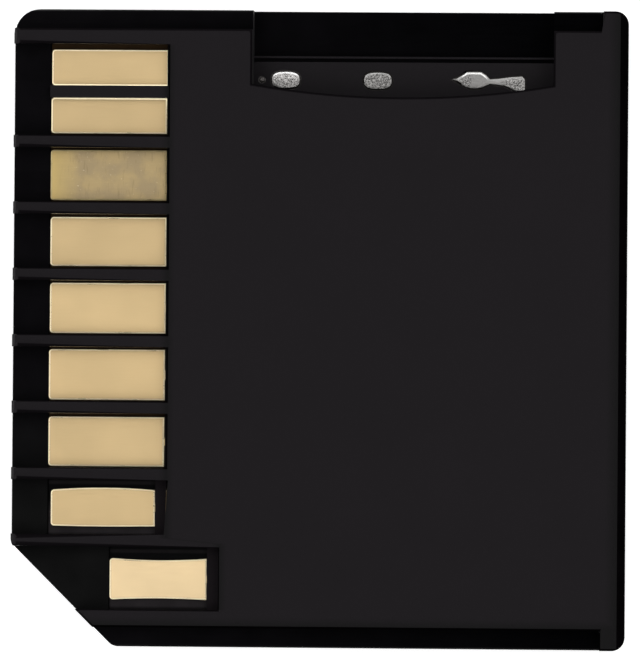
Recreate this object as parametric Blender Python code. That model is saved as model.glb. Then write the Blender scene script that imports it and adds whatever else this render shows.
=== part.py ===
"""Short memory card adapter: a full-size card body that takes a small card through its side.

The pieces are drawn in card coordinates, in millimetres: x from the contact edge, y from the
chamfered side and z from the label face. Each object is then placed so that the case is
centred over the origin, with its contacts facing up.
"""

import math

import bmesh
import bpy
from mathutils import Vector

MM = 0.001

# Contact channels: the rib centres stand one pitch apart
PITCH = 2.5
FIRST_RIB = 4.0
RIB_WIDTH = 0.46
RIB_COUNT = 7
WIDE_CHANNEL = 3.44
FRAME_STRIP = 1.33
CHANNEL_FLOOR = 1.38
WINDOW_FRONT = 1.34
WINDOW_REAR = 5.86
BRIDGE_START = 1.43
BRIDGE_WIDTH = 0.46
BRIDGE_TOP = 1.75
LEDGE_TOP = 1.5
CORNER_CHANNEL = 1.4
CORNER_WINDOW = (3.68, 7.84)

# Case
LENGTH = 23.12
LAST_RIB = FIRST_RIB + (RIB_COUNT - 1) * PITCH
WIDTH = LAST_RIB + RIB_WIDTH / 2 + WIDE_CHANNEL + FRAME_STRIP
THICKNESS = 2.1
PARTING = 0.7
SEAM = 0.01
SEAM_EDGE = 0.04
EDGE = 0.08
CHAMFER = 3.85
CHAMFER_RADIUS = 0.5
FRONT_RADIUS = 0.95
REAR_RADIUS = 0.5
REAR_BAND = 0.5
REAR_DROP = 0.45
NOSE = 0.22
ARC_STEPS = 8

# Guide rails along both sides, which end at full-height corner blocks
RAIL_WIDTH = 0.74
RAIL_TOP = 1.4
CORNER_BLOCK = 0.95

# Slot for the small card, open at the side away from the chamfer
SLOT = (8.98, 20.31)
SLOT_LENGTH = 15.04
SLOT_END = WIDTH - SLOT_LENGTH
SLOT_FLOOR = 0.6
SLOT_CEILING = 1.45
MOUTH_FLOOR = 0.3
MOUTH_DEPTH = 1.67
BEAD_WIDTH = 0.13
BEAD_TOP = 0.62
GROOVE_WIDTH = 0.08
GROOVE_DEPTH = 0.1
NOTCH_DEPTH = 2.8
NOTCH_RISE = 0.48

# Label shell
FLOOR = 0.4
RECESS_DEPTH = 0.1
RECESS_MARGIN = 1.6
RECESS_RADIUS = 0.6
RECESS_TOP_MARGIN = 2.3

# Pins that join the two shells
FIT = 0.02
PIN_RADIUS = 0.3
PIN_END = 0.3
PIN_STEPS = 20
REAR_PIN_INSET = 1.42
SIDE_PIN_INSET = 2.0
FRONT_PIN_INSET = 0.68

# Carrier under the leads
CARRIER_FRONT = 1.38
CARRIER_MARGIN = (1.0, 1.1)
CARRIER_REAR = SLOT[1] - 0.06
CARRIER_END = SLOT_END - FIT
CARRIER_WALL = 0.16
ROOF = 1.42

# Stamped leads
SHEET = 0.15
LEAD_TOP = 1.4
LEAD_BED = LEAD_TOP - SHEET - FIT
TRACE_WIDTH = 0.28
TRACE_PITCH = 0.46
LAST_LANE = 6.0
LANES = 6
CORNER_LANE = 8.3
FINGER_PITCH = 1.1
ROOT_LENGTH = 0.63
# Rows of a finger: distance out of the carrier, width and rise of its upper face
FINGER = (
    (-0.37, 0.5, 0.0),
    (0.32, 0.5, 0.0),
    (0.52, 0.49, 0.02),
    (0.92, 0.48, 0.1),
    (1.12, 0.47, 0.12),
    (1.52, 0.46, 0.11),
    (2.02, 0.43, 0.01),
    (2.27, 0.42, -0.04),
    (2.42, 0.41, -0.055),
    (2.57, 0.4, -0.045),
    (2.92, 0.36, 0.05),
)
FINGER_POCKET = 3.4
FINGER_ROOM = 0.45
POCKET_CEILING = 1.75

# Pads by lead: front and rear edges, then the gaps to the low and high sides of the window
PADS = {
    8: (1.41, 5.79, 0.01, 0.2),
    7: (1.39, 5.75, 0.09, 0.01),
    6: (1.38, 5.75, 0.07, 0.08),
    5: (1.39, 5.76, 0.09, 0.11),
    4: (1.39, 5.75, 0.06, 0.09),
    3: (1.37, 5.74, 0.05, 0.09),
    2: (1.37, 5.73, 0.05, 0.13),
    1: (1.48, 5.4, 0.3, 0.38),
    9: (3.72, 7.37, 0.37, 0.45),
}
# How far each long edge bows out at its middle, low edge first
BOWS = {1: (0.02, 0.08), 9: (-0.05, -0.07)}
PAD_CORNER = 0.12
# The leads in the order of their fingers, from the contact edge to the rear
FINGER_ORDER = (8, 7, 6, 5, 4, 2, 1, 9)
# The lead whose trace runs straight on from the middle of its pad
STRAIGHT_LEAD = 1

# Strap that joins pads 3 and 6 under the leads between them
STRAP_WIDTH = 0.4
STRAP_TOP = 0.98
STRAP_RAMP = (5.88, 6.08)
STRAP_SIDE = 6.38
EXIT_OFFSET = 0.52

# Steel grip strip moulded into the slot floor. Its places are distances along the mouth from
# the slot's near wall, and in from the side of the case.
STRIP = (0.14, 10.57, 2.18, 3.02)
STRIP_LEVELS = (0.4, 0.5)
SPOT_TOP = 0.64
SPOT_EDGE = 0.03
SPOT_SIZE = (1.09, 0.665)
SPOTS = ((1.205, 2.59), (4.685, 2.6))
SPOT_STEPS = 24
FLATTENING = 0.72
END_SPOT = (0.31, 2.59)
END_SPOT_SIZE = (0.2, 0.18)
TAIL_SPOT = (
    (7.59, 2.62),
    (7.85, 2.5),
    (8.02, 2.34),
    (8.29, 2.28),
    (8.59, 2.32),
    (8.78, 2.5),
    (8.92, 2.66),
    (9.24, 2.64),
    (9.72, 2.5),
    (10.12, 2.46),
    (10.24, 2.6),
    (10.25, 2.92),
    (10.18, 3.04),
    (9.93, 3.03),
    (9.78, 2.92),
    (9.48, 2.81),
    (8.92, 2.79),
    (8.69, 2.82),
    (8.48, 2.885),
    (8.19, 2.885),
    (7.98, 2.82),
    (7.84, 2.74),
)
WINDOW_GAP = 0.05

# Linear colours of the plating, which differ a little from pad to pad
GOLD = {
    "lead_1": (0.68, 0.53, 0.31),
    "lead_2": (0.62, 0.46, 0.22),
    "lead_ground": (0.52, 0.42, 0.24),
    "lead_4": (0.62, 0.46, 0.22),
    "lead_5": (0.62, 0.46, 0.22),
    "lead_7": (0.62, 0.46, 0.22),
    "lead_8": (0.60, 0.44, 0.21),
    "lead_9": (0.75, 0.60, 0.42),
}

# Beyond a face, so that a cutter's own face never lies in it
CLEAR = 1.0


def card_point(axis, point, height):
    """A point of an outline in metres, for an outline drawn across the given axis."""
    order = {
        "Z": (point[0], point[1], height),
        "X": (height, point[0], point[1]),
        "Y": (point[0], height, point[1]),
    }
    return Vector(order[axis]) * MM


def placed(name, mesh):
    """An object of this mesh, moved from card coordinates to the model's own frame."""
    data = bpy.data.meshes.new(name)
    mesh.to_mesh(data)
    mesh.free()
    obj = bpy.data.objects.new(name, data)
    obj.location = Vector((-LENGTH / 2, -WIDTH / 2, 0)) * MM
    bpy.context.collection.objects.link(obj)
    return obj


def rounded(corners):
    """An outline through (x, y, radius) corners, anticlockwise, with each corner rounded."""
    outline = []
    for i, (x, y, radius) in enumerate(corners):
        corner = Vector((x, y))
        back = (Vector(corners[i - 1][:2]) - corner).normalized()
        ahead = (Vector(corners[(i + 1) % len(corners)][:2]) - corner).normalized()
        if radius == 0:
            outline.append(corner)
            continue
        half = back.angle(ahead) / 2
        centre = corner + (back + ahead).normalized() * radius / math.sin(half)
        start = corner + back * radius / math.tan(half) - centre
        end = corner + ahead * radius / math.tan(half) - centre
        first = math.atan2(start.y, start.x)
        turn = (math.atan2(end.y, end.x) - first + math.pi) % (2 * math.pi) - math.pi
        for step in range(ARC_STEPS + 1):
            angle = first + turn * step / ARC_STEPS
            outline.append(centre + radius * Vector((math.cos(angle), math.sin(angle))))
    return outline


def rectangle(left, right, low, high, radius=0):
    sides = ((left, low), (right, low), (right, high), (left, high))
    return rounded([(x, y, radius) for x, y in sides])


def ellipse(x, y, length, width, steps):
    turns = [2 * math.pi * step / steps for step in range(steps)]
    return [
        Vector((x + length / 2 * math.cos(turn), y + width / 2 * math.sin(turn)))
        for turn in turns
    ]


def barrel(x, y, length, width, steps):
    """An oval whose sides are flattened by the power that draws its points outwards."""
    points = []
    for point in ellipse(0, 0, 2, 2, steps):
        across = math.copysign(abs(point.x) ** FLATTENING, point.x)
        up = math.copysign(abs(point.y) ** FLATTENING, point.y)
        points.append(Vector((x + length / 2 * across, y + width / 2 * up)))
    return points


def grown(outline, distance):
    """An anticlockwise outline moved outwards by a distance."""
    moved = []
    for i, point in enumerate(outline):
        before = (point - outline[i - 1]).normalized()
        after = (outline[(i + 1) % len(outline)] - point).normalized()
        outward = Vector((before.y + after.y, -before.x - after.x)).normalized()
        reach = distance / outward.dot(Vector((before.y, -before.x)))
        moved.append(point + outward * reach)
    return moved


def stack(name, outlines, levels, axis="Z"):
    """A closed body for each outline, drawn up through levels of (height, growth)."""
    mesh = bmesh.new()
    for outline in outlines:
        rings = [
            [mesh.verts.new(card_point(axis, point, height)) for point in grown(outline, growth)]
            for height, growth in levels
        ]
        mesh.faces.new(rings[0])
        mesh.faces.new(rings[-1])
        for lower, upper in zip(rings, rings[1:]):
            for i in range(len(lower)):
                mesh.faces.new((lower[i - 1], lower[i], upper[i], upper[i - 1]))
    bmesh.ops.recalc_face_normals(mesh, faces=mesh.faces[:])
    return placed(name, mesh)


def straight(name, outlines, low, high, axis="Z"):
    return stack(name, outlines, ((low, 0), (high, 0)), axis)


def combine(target, tool, operation):
    """Joins a helper to a piece or cuts it away, and keeps the helper out of renders."""
    modifier = target.modifiers.new(tool.name, "BOOLEAN")
    modifier.operation = operation
    modifier.solver = "EXACT"
    modifier.object = tool
    tool.hide_render = True
    tool.display_type = "WIRE"


def cut(target, *tools):
    for tool in tools:
        combine(target, tool, "DIFFERENCE")


def finish(obj, name, colour, roughness, metallic=0.0):
    """Gives a piece its own material."""
    material = bpy.data.materials.new(name)
    material.use_nodes = True
    shader = material.node_tree.nodes["Principled BSDF"]
    shader.inputs["Base Color"].default_value = (*colour, 1.0)
    shader.inputs["Roughness"].default_value = roughness
    shader.inputs["Metallic"].default_value = metallic
    obj.data.materials.append(material)


def case_outline():
    return rounded(
        [
            (CHAMFER, 0, CHAMFER_RADIUS),
            (LENGTH, 0, REAR_RADIUS),
            (LENGTH, WIDTH, REAR_RADIUS),
            (0, WIDTH, FRONT_RADIUS),
            (0, CHAMFER, CHAMFER_RADIUS),
        ]
    )


def window_sides():
    """Low and high sides of the window of each pad. The wide channel holds two, with a bridge."""
    sides = {}
    for number in range(1, RIB_COUNT):
        rib = FIRST_RIB + (number - 1) * PITCH
        sides[number] = (rib + RIB_WIDTH / 2, rib + PITCH - RIB_WIDTH / 2)
    wide_low = LAST_RIB + RIB_WIDTH / 2
    bridge = wide_low + BRIDGE_START
    sides[7] = (wide_low, bridge)
    sides[8] = (bridge + BRIDGE_WIDTH, wide_low + WIDE_CHANNEL)
    sides[9] = (CORNER_CHANNEL, FIRST_RIB - RIB_WIDTH / 2)
    return sides


def wide_channel():
    sides = window_sides()
    return sides[7][0], sides[8][1]


def pad_box(lead):
    """Front, rear, low and high edges of a pad."""
    front, rear, low_gap, high_gap = PADS[lead]
    low, high = window_sides()[lead]
    return front, rear, low + low_gap, high - high_gap


def pad_middle(lead):
    low, high = pad_box(lead)[2:]
    return (low + high) / 2


def stem_side():
    """The side of the carrier's stem that faces the slot, outside the last of the lanes."""
    return LAST_LANE + (LANES - 1) * TRACE_PITCH + TRACE_WIDTH / 2 + CARRIER_WALL


def carrier_outline():
    """The carrier in plan: a stem under the pads and an arm across the end of the slot."""
    low = CARRIER_MARGIN[0]
    high = WIDTH - CARRIER_MARGIN[1]
    step_x = CORNER_WINDOW[0] + FIT
    step_y = FIRST_RIB - 2 * FIT
    points = (
        (step_x, low),
        (CARRIER_REAR, low),
        (CARRIER_REAR, CARRIER_END),
        (stem_side(), CARRIER_END),
        (stem_side(), high),
        (CARRIER_FRONT, high),
        (CARRIER_FRONT, step_y),
        (step_x, step_y),
    )
    return rounded([(x, y, 0) for x, y in points])


def rail_cutter():
    """Clears the space above both guide rails."""
    above = THICKNESS + CLEAR
    low_side = [
        (-CLEAR, RAIL_TOP - CLEAR - EDGE),
        (EDGE, RAIL_TOP),
        (RAIL_WIDTH, RAIL_TOP),
        (RAIL_WIDTH, THICKNESS - EDGE),
        (RAIL_WIDTH + EDGE, THICKNESS),
        (RAIL_WIDTH + EDGE, above),
        (-CLEAR, above),
    ]
    low_outline = [Vector(point) for point in low_side]
    high_outline = [Vector((WIDTH - y, z)) for y, z in reversed(low_side)]
    return straight("rail cutter", [low_outline, high_outline], -CLEAR, LENGTH - CORNER_BLOCK, "X")


def front_cutter():
    """Opens the channels at the contact edge, down to their floor."""
    channels = [window_sides()[number] for number in range(1, RIB_COUNT)] + [wide_channel()]
    outlines = [rectangle(low, high, CHANNEL_FLOOR, THICKNESS + CLEAR) for low, high in channels]
    return straight("front cutter", outlines, -CLEAR, WINDOW_FRONT + FIT, "X")


def corner_front_cutter():
    low, high = window_sides()[9]
    outline = rectangle(low, high, CHANNEL_FLOOR, THICKNESS + CLEAR)
    return straight("corner front cutter", [outline], -CLEAR, CORNER_WINDOW[0] + FIT, "X")


def window_cutter():
    """Opens a window over each pad, as far in as the pad's ledge where its neck has one."""
    outlines = []
    for lead, (low, high) in window_sides().items():
        front = CORNER_WINDOW[0] if lead == 9 else WINDOW_FRONT
        rear = PADS[lead][1] + FIT if lead in BOWS else WINDOW_REAR
        outlines.append(rectangle(front, rear, low, high))
    return straight("window cutter", outlines, LEAD_BED - FIT, THICKNESS + CLEAR)


def ledge_cutter():
    """Clears the windows above the ledges that cover the necks of the two short pads."""
    sides = window_sides()
    outlines = [
        rectangle(WINDOW_FRONT, WINDOW_REAR, *sides[1]),
        rectangle(*CORNER_WINDOW, *sides[9]),
    ]
    return straight("ledge cutter", outlines, LEDGE_TOP, THICKNESS + CLEAR)


def neck_cavity():
    """Room for the neck of the first pad under its ledge."""
    neck = trace_path(1)[0]
    half = TRACE_WIDTH / 2 + FIT
    outline = rectangle(neck.x - FIT, WINDOW_REAR, neck.y - half, neck.y + half)
    return straight("neck cavity", [outline], LEAD_BED - FIT, ROOF)


def bridge_cutter():
    outline = rectangle(WINDOW_FRONT, WINDOW_REAR, *wide_channel())
    return straight("bridge cutter", [outline], BRIDGE_TOP, THICKNESS + CLEAR)


def notch_cutter():
    """The finger notch: it ends in a shallow arch."""
    half = (SLOT[1] - SLOT[0]) / 2
    middle = SLOT[0] + half
    radius = (half**2 + NOTCH_RISE**2) / (2 * NOTCH_RISE)
    centre = WIDTH - NOTCH_DEPTH - NOTCH_RISE + radius
    reach = math.asin(half / radius)
    steps = 2 * ARC_STEPS
    outline = [Vector((SLOT[1], WIDTH + CLEAR)), Vector((SLOT[0], WIDTH + CLEAR))]
    for step in range(steps + 1):
        angle = reach * (2 * step / steps - 1)
        x = middle + radius * math.sin(angle)
        outline.append(Vector((x, centre - radius * math.cos(angle))))
    levels = (
        (PARTING - CLEAR, 0),
        (THICKNESS - EDGE, 0),
        (THICKNESS, EDGE),
        (THICKNESS + CLEAR, EDGE),
    )
    return stack("notch cutter", [outline], levels)


def rear_cutter():
    """Rounds the rear edge of the contact face to a quarter of an ellipse."""
    band = []
    for step in range(ARC_STEPS + 1):
        angle = math.pi / 2 * step / ARC_STEPS
        x = LENGTH - REAR_BAND + REAR_BAND * math.sin(angle)
        band.append((x, THICKNESS - REAR_DROP + REAR_DROP * math.cos(angle)))
    band += [
        (LENGTH + CLEAR, THICKNESS - REAR_DROP),
        (LENGTH + CLEAR, THICKNESS + CLEAR),
        (LENGTH - REAR_BAND, THICKNESS + CLEAR),
    ]
    outline = [Vector(point) for point in band]
    return straight("rear cutter", [outline], -CLEAR, WIDTH + CLEAR, "Y")


def nose_cutter():
    """Bevels the contact edge."""
    points = (
        (-CLEAR, THICKNESS - NOSE - CLEAR),
        (NOSE + CLEAR, THICKNESS + CLEAR),
        (-CLEAR, THICKNESS + CLEAR),
    )
    outline = [Vector(point) for point in points]
    return straight("nose cutter", [outline], -CLEAR, WIDTH + CLEAR, "Y")


def carrier_cavity():
    """Space for the carrier, up to the ribs between the pads."""
    outline = grown(carrier_outline(), FIT)
    return straight("carrier cavity", [outline], PARTING - CLEAR, LEAD_TOP - SHEET)


def lead_cavity():
    """The taller space behind the windows, where the leads run under the roof."""
    left = WINDOW_REAR - FIT
    low = CARRIER_MARGIN[0] - FIT
    high = WIDTH - CARRIER_MARGIN[1] + FIT
    points = (
        (left, low),
        (CARRIER_REAR + FIT, low),
        (CARRIER_REAR + FIT, CARRIER_END + FIT),
        (stem_side() + FIT, CARRIER_END + FIT),
        (stem_side() + FIT, high),
        (left, high),
    )
    outline = rounded([(x, y, 0) for x, y in points])
    return straight("lead cavity", [outline], PARTING - CLEAR, ROOF)


def slot_cutter():
    outline = rectangle(*SLOT, SLOT_END - FIT, WIDTH + CLEAR)
    return straight("slot cutter", [outline], PARTING - CLEAR, SLOT_CEILING)


def finger_pocket():
    """Room above the spring fingers, so that they can lift when the small card goes in."""
    left = finger_x(FINGER_ORDER[0]) - FINGER_ROOM
    right = finger_x(FINGER_ORDER[-1]) + FINGER_ROOM
    outline = rectangle(left, right, CARRIER_END - ROOT_LENGTH, CARRIER_END + FINGER_POCKET)
    return straight("finger pocket", [outline], PARTING - CLEAR, POCKET_CEILING)


def pin_places():
    rear = [(LENGTH - REAR_PIN_INSET, y) for y in (SIDE_PIN_INSET, WIDTH / 2, WIDTH - SIDE_PIN_INSET)]
    return rear + [(FRONT_PIN_INSET, WIDTH / 3), (FRONT_PIN_INSET, WIDTH * 2 / 3)]


def pins(name, radius, low, high):
    outlines = [ellipse(x, y, 2 * radius, 2 * radius, PIN_STEPS) for x, y in pin_places()]
    return straight(name, outlines, low, high)


def contact_shell():
    levels = (
        (PARTING + SEAM, -SEAM_EDGE),
        (PARTING + SEAM + SEAM_EDGE, 0),
        (THICKNESS - EDGE, 0),
        (THICKNESS, -EDGE),
    )
    shell = stack("contact_shell", [case_outline()], levels)
    cut(shell, rail_cutter(), rear_cutter(), nose_cutter(), notch_cutter())
    cut(shell, front_cutter(), corner_front_cutter(), bridge_cutter())
    cut(shell, window_cutter(), ledge_cutter(), neck_cavity())
    cut(shell, carrier_cavity(), lead_cavity(), slot_cutter(), finger_pocket())
    combine(shell, pins("pins", PIN_RADIUS, PIN_END, PARTING + EDGE), "UNION")
    finish(shell, "Black moulded plastic, contact side", (0.0145, 0.0135, 0.0150), 0.5)


def carrier_pocket():
    outline = grown(carrier_outline(), FIT)
    return straight("carrier pocket", [outline], FLOOR, PARTING + CLEAR)


def slot_floor_cutter():
    """The slot floor, with its groove and bead, and the deeper floor of the mouth."""
    above = PARTING + CLEAR
    bead_outer = WIDTH - MOUTH_DEPTH
    bead_inner = bead_outer - BEAD_WIDTH
    groove = bead_inner - GROOVE_WIDTH
    points = (
        (SLOT_END - FIT, SLOT_FLOOR),
        (groove, SLOT_FLOOR),
        (groove, SLOT_FLOOR - GROOVE_DEPTH),
        (bead_inner, SLOT_FLOOR - GROOVE_DEPTH),
        (bead_inner, BEAD_TOP),
        (bead_outer, BEAD_TOP),
        (bead_outer, MOUTH_FLOOR),
        (WIDTH + CLEAR, MOUTH_FLOOR),
        (WIDTH + CLEAR, above),
        (SLOT_END - FIT, above),
    )
    outline = [Vector(point) for point in points]
    return straight("slot floor cutter", [outline], *SLOT, "X")


def label_recess():
    """The shallow recess for a label, which keeps clear of the chamfer."""
    near = RECESS_MARGIN
    far = CHAMFER + RECESS_MARGIN * (math.sqrt(2) - 1)
    points = (
        (far, near),
        (LENGTH - near, near),
        (LENGTH - near, WIDTH - RECESS_TOP_MARGIN),
        (near, WIDTH - RECESS_TOP_MARGIN),
        (near, far),
    )
    outline = rounded([(x, y, RECESS_RADIUS) for x, y in points])
    return straight("label recess", [outline], -CLEAR, RECESS_DEPTH)


def in_mouth(point):
    """A place of the grip strip in card coordinates."""
    return Vector((SLOT[0] + point[0], WIDTH - point[1]))


def strip_outline(radius=0):
    left, right, near, far = STRIP
    low_corner = in_mouth((left, far))
    high_corner = in_mouth((right, near))
    return rectangle(low_corner.x, high_corner.x, low_corner.y, high_corner.y, radius)


def spot_outlines():
    """The parts of the grip strip that show in the slot floor."""
    spots = [barrel(*in_mouth(spot), *SPOT_SIZE, SPOT_STEPS) for spot in SPOTS]
    spots.append(ellipse(*in_mouth(END_SPOT), *END_SPOT_SIZE, SPOT_STEPS // 2))
    return spots + [[in_mouth(point) for point in reversed(TAIL_SPOT)]]


def strip_tunnel():
    low, high = STRIP_LEVELS
    return straight("strip tunnel", [grown(strip_outline(), FIT)], low - FIT, high + FIT)


def spot_windows():
    outlines = [grown(outline, WINDOW_GAP) for outline in spot_outlines()]
    return straight("spot windows", outlines, STRIP_LEVELS[1], SLOT_FLOOR + CLEAR)


def label_shell():
    levels = (
        (0, -EDGE),
        (EDGE, 0),
        (PARTING - SEAM_EDGE, 0),
        (PARTING, -SEAM_EDGE),
    )
    shell = stack("label_shell", [case_outline()], levels)
    cut(shell, carrier_pocket(), slot_floor_cutter(), label_recess())
    cut(shell, pins("pin holes", PIN_RADIUS + FIT, PIN_END - FIT, PARTING + CLEAR))
    cut(shell, strip_tunnel(), spot_windows())
    finish(shell, "Black moulded plastic, label side", (0.0140, 0.0132, 0.0148), 0.45)


def grip_strip():
    low, high = STRIP_LEVELS
    strip = straight("grip_strip", [strip_outline(EDGE)], low, high)
    levels = ((low + FIT, 0), (SPOT_TOP - SPOT_EDGE, 0), (SPOT_TOP, -SPOT_EDGE))
    combine(strip, stack("raised spots", spot_outlines(), levels), "UNION")
    finish(strip, "Bright spring steel", (0.62, 0.62, 0.63), 0.4, 1.0)


def finger_x(lead):
    middle = (SLOT[0] + SLOT[1]) / 2
    return middle + FINGER_PITCH * (FINGER_ORDER.index(lead) - (len(FINGER_ORDER) - 1) / 2)


def lead_exit(lead):
    """The height at which a trace leaves its pad: the middle, unless the strap shares its edge."""
    return pad_middle(lead) + (EXIT_OFFSET if lead == 6 else 0)


def trace_path(lead):
    """The middle line of a lead in plan, from its pad to the root of its finger."""
    order = FINGER_ORDER.index(lead)
    row = pad_middle(STRAIGHT_LEAD) + TRACE_PITCH * (FINGER_ORDER.index(STRAIGHT_LEAD) - order)
    path = [(PADS[lead][1], lead_exit(lead))]
    if lead != STRAIGHT_LEAD:
        lane = CORNER_LANE if lead == 9 else LAST_LANE + TRACE_PITCH * (LANES - 1 - order)
        path += [(lane, lead_exit(lead)), (lane, row)]
    path += [(finger_x(lead), row), (finger_x(lead), CARRIER_END - ROOT_LENGTH)]
    return [Vector(point) for point in path]


def beside(path, distance):
    """A path moved to its left by a distance, with its corners mitred."""
    moved = []
    for i, point in enumerate(path):
        before = point - path[i - 1] if i else path[1] - point
        after = path[i + 1] - point if i + 1 < len(path) else before
        before = before.normalized()
        after = after.normalized()
        left = Vector((-before.y - after.y, before.x + after.x)).normalized()
        moved.append(point + left * distance / left.dot(Vector((-before.y, before.x))))
    return moved


def bowed(start, end, bow):
    """The inner points of a pad edge whose middle bows out to the right of its run."""
    if not bow:
        return []
    along = end - start
    outward = Vector((along.y, -along.x)).normalized()
    shares = [step / ARC_STEPS for step in range(1, ARC_STEPS)]
    return [start + along * share + outward * bow * 4 * share * (1 - share) for share in shares]


def pad(mesh, lead, exits):
    """Adds a pad to a sheet and returns the edge of each exit, its high point first."""
    front, rear, low, high = pad_box(lead)
    low_bow, high_bow = BOWS.get(lead, (0, 0))
    corners = [(front, low, PAD_CORNER), (rear, low, 0), (rear, high, 0), (front, high, PAD_CORNER)]
    ring = rounded(corners)
    low_start, low_end, high_start, high_end = ring[ARC_STEPS : ARC_STEPS + 4]
    outline = ring[:ARC_STEPS] + [low_start] + bowed(low_start, low_end, low_bow) + [low_end]
    first_exit = len(outline)
    for y, width in exits:
        outline += [Vector((rear, y - width / 2)), Vector((rear, y + width / 2))]
    outline += [high_start] + bowed(high_start, high_end, high_bow) + ring[ARC_STEPS + 3 :]
    verts = [mesh.verts.new(card_point("Z", point, LEAD_TOP)) for point in outline]
    mesh.faces.new(verts)
    edges = range(first_exit, first_exit + 2 * len(exits), 2)
    return [(verts[i + 1], verts[i]) for i in edges]


def strip(mesh, edge, rows):
    """Adds faces from an edge through rows of left and right points, and returns the last row."""
    for row in rows:
        fresh = [mesh.verts.new(point) for point in row]
        mesh.faces.new((edge[0], edge[1], fresh[1], fresh[0]))
        edge = fresh
    return edge


def trace(mesh, lead, edge):
    """Adds the trace of a lead and the spring finger bent from its end."""
    path = trace_path(lead)
    sides = zip(beside(path, TRACE_WIDTH / 2)[1:], beside(path, -TRACE_WIDTH / 2)[1:])
    rows = [[card_point("Z", point, LEAD_TOP) for point in pair] for pair in sides]
    x = path[-1].x
    for reach, width, rise in FINGER:
        y = CARRIER_END + reach
        rows.append([card_point("Z", (x + side * width / 2, y), LEAD_TOP + rise) for side in (-1, 1)])
    strip(mesh, edge, rows)


def gold_lead(name, mesh):
    """Makes a sheet into a lead, its thickness going down from its upper face."""
    lead = placed(name, mesh)
    modifier = lead.modifiers.new("Sheet thickness", "SOLIDIFY")
    modifier.thickness = SHEET * MM
    modifier.offset = -1.0
    modifier.use_even_offset = True
    modifier.use_quality_normals = True
    finish(lead, "Gold plating, " + name, GOLD[name], 0.3, 1.0)


def single_lead(lead):
    mesh = bmesh.new()
    (edge,) = pad(mesh, lead, [(lead_exit(lead), TRACE_WIDTH)])
    trace(mesh, lead, edge)
    gold_lead(f"lead_{lead}", mesh)


def strap_ramp(mesh, edge):
    """Bends the strap down from the rear edge of a pad."""
    rows = []
    for x, z in zip(STRAP_RAMP, (LEAD_TOP, STRAP_TOP)):
        rows.append([Vector((x * MM, vert.co.y, z * MM)) for vert in edge])
    return strip(mesh, edge, rows)


def ground_lead():
    """Pads 3 and 6 as one stamping, with the strap that dips under the two leads between them."""
    mesh = bmesh.new()
    strap_six, trace_six = pad(
        mesh, 6, [(pad_middle(6) - EXIT_OFFSET, STRAP_WIDTH), (lead_exit(6), TRACE_WIDTH)]
    )
    trace(mesh, 6, trace_six)
    (strap_three,) = pad(mesh, 3, [(pad_middle(3), STRAP_WIDTH)])
    six_high, six_low = strap_ramp(mesh, strap_six)
    three_high, three_low = strap_ramp(mesh, strap_three)
    far_side = [
        mesh.verts.new(Vector((STRAP_SIDE * MM, vert.co.y, STRAP_TOP * MM)))
        for vert in (three_low, six_high)
    ]
    mesh.faces.new((three_low, *far_side, six_high, six_low, three_high))
    gold_lead("lead_ground", mesh)


def groove_cutter():
    """A groove in the carrier for each trace."""
    half = TRACE_WIDTH / 2 + FIT
    outlines = []
    for lead in FINGER_ORDER:
        path = trace_path(lead)
        outlines.append(beside(path, -half) + beside(path, half)[::-1])
    return straight("groove cutter", outlines, LEAD_BED, LEAD_TOP + CLEAR)


def finger_slots():
    """A wider slot in the carrier for the root of each finger."""
    half = FINGER[0][1] / 2 + FIT
    start = CARRIER_END - ROOT_LENGTH - FIT
    outlines = [
        rectangle(finger_x(lead) - half, finger_x(lead) + half, start, CARRIER_END + CLEAR)
        for lead in FINGER_ORDER
    ]
    return straight("finger slots", outlines, LEAD_BED, LEAD_TOP + CLEAR)


def strap_trench():
    half = STRAP_WIDTH / 2 + 2 * FIT
    low = pad_middle(3) - half
    high = pad_middle(6) - EXIT_OFFSET + half
    outline = rectangle(STRAP_RAMP[0] - SHEET, STRAP_SIDE + 2 * FIT, low, high)
    return straight("strap trench", [outline], STRAP_TOP - SHEET - FIT, LEAD_TOP + CLEAR)


def pad_beds():
    """The lower top of the carrier under the pads, and the bed of the corner pad."""
    under_pads = rectangle(-CLEAR, WINDOW_REAR, -CLEAR, WIDTH + CLEAR)
    rear = CORNER_WINDOW[1] + FIT
    low, high = window_sides()[9]
    corner = rectangle(WINDOW_REAR - FIT, rear, low - FIT, high + FIT)
    return (
        straight("pad bed", [under_pads], LEAD_BED, LEAD_TOP + CLEAR),
        straight("corner pad bed", [corner], LEAD_BED, LEAD_TOP + CLEAR),
    )


def lead_carrier():
    carrier = straight("lead_carrier", [carrier_outline()], FLOOR + FIT, LEAD_TOP)
    cut(carrier, *pad_beds(), groove_cutter(), finger_slots(), strap_trench())
    finish(carrier, "Black plastic of the carrier", (0.0060, 0.0058, 0.0062), 0.4)


def main():
    for obj in list(bpy.data.objects):
        bpy.data.objects.remove(obj, do_unlink=True)
    contact_shell()
    label_shell()
    lead_carrier()
    grip_strip()
    ground_lead()
    for lead in (1, 2, 4, 5, 7, 8, 9):
        single_lead(lead)


main()
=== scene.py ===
# %% [markdown]
# # A memory card adapter, looked at from its contact side
#
# The real object is a thin case of two moulded half shells, welded together round their edge,
# with stamped and plated leads inside. A small card slides into a slot in its long side, and
# the nine flat ends of the leads show through windows as contact pads.
#
# The solid model is already made and comes in as a fixed frame. This lesson gives it its
# looks: soft edges, the fine finish of moulded plastic, plated metal, a studio and a camera.
# All sizes are metres, as the frame is, so a millimetre is written `MM`.

import math

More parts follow.
